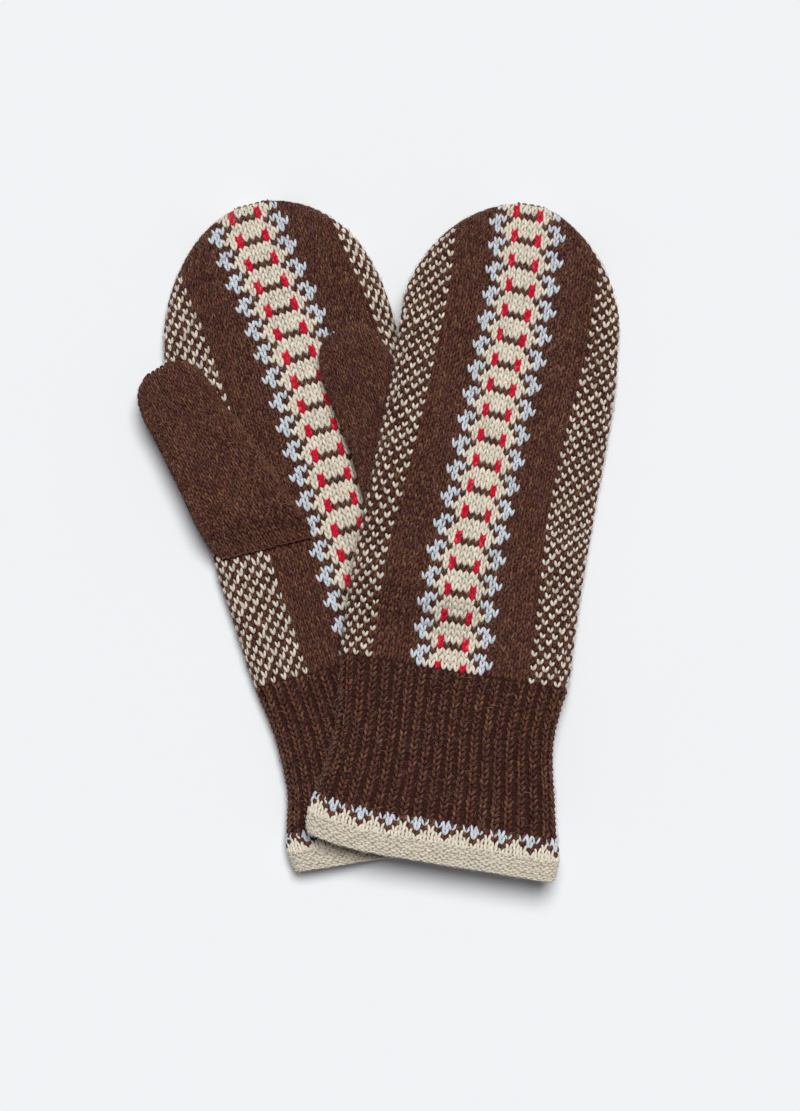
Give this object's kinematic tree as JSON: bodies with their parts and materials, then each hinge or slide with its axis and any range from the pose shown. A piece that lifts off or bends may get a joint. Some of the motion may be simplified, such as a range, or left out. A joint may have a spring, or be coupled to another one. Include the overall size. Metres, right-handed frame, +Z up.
{
  "type": "knitted mittens",
  "caption": "Pair of hollow knitted wool mittens, one laid across the other, with patterned hands, folded thumbs, ribbed cuffs and turned hems.",
  "frame": {"origin": "centre of the pair's box on the plane it lies on", "axes": "+Z up from the table, +Y from the hems towards the fingertips, +X towards the right mitten"},
  "size_m": [0.2028, 0.2867, 0.0312],
  "materials": {
    "patterned_knit": "brown heather wool with cream, red and light blue colourwork, matt and slightly fuzzy",
    "brown_knit": "brown heather wool stockinette, matt",
    "brown_rib": "brown heather wool rib, matt",
    "edging_knit": "light blue, brown and cream colourwork edging, matt",
    "cream_purl": "cream wool with the purl side out, matt",
    "seam_yarn": "brown wool yarn, matt"
  },
  "bodies": {
    "left_mitten": {"left_hand": "patterned_knit", "left_rib_cuff": "brown_rib", "left_edging": "edging_knit", "left_hem": "cream_purl", "left_side_seam": "seam_yarn", "left_tip_knot": "seam_yarn"},
    "left_thumb": {"left_thumb": "brown_knit", "left_thumb_seam": "seam_yarn", "left_thumb_knot": "seam_yarn"},
    "right_mitten": {"right_hand": "patterned_knit", "right_rib_cuff": "brown_rib", "right_edging": "edging_knit", "right_hem": "cream_purl", "right_side_seam": "seam_yarn", "right_tip_knot": "seam_yarn"},
    "right_thumb": {"right_thumb": "brown_knit", "right_thumb_seam": "seam_yarn", "right_thumb_knot": "seam_yarn"}
  },
  "joints": [
    {"name": "right_mitten_lift", "type": "slide", "parent": "left_mitten", "child": "right_mitten", "axis": [0, 0, 1], "range_m": [0, 0.06]},
    {"name": "left_thumb_spread", "type": "hinge", "parent": "left_mitten", "child": "left_thumb", "pos_m": [-0.0499, 0.0009, 0.0156], "axis": [0, 0, 1], "range_deg": [-12, 25]},
    {"name": "right_thumb_spread", "type": "hinge", "parent": "right_mitten", "child": "right_thumb", "pos_m": [0.0168, 0.0082, 0.0156], "axis": [0, 0, 1], "range_deg": [0, 12]}
  ]
}
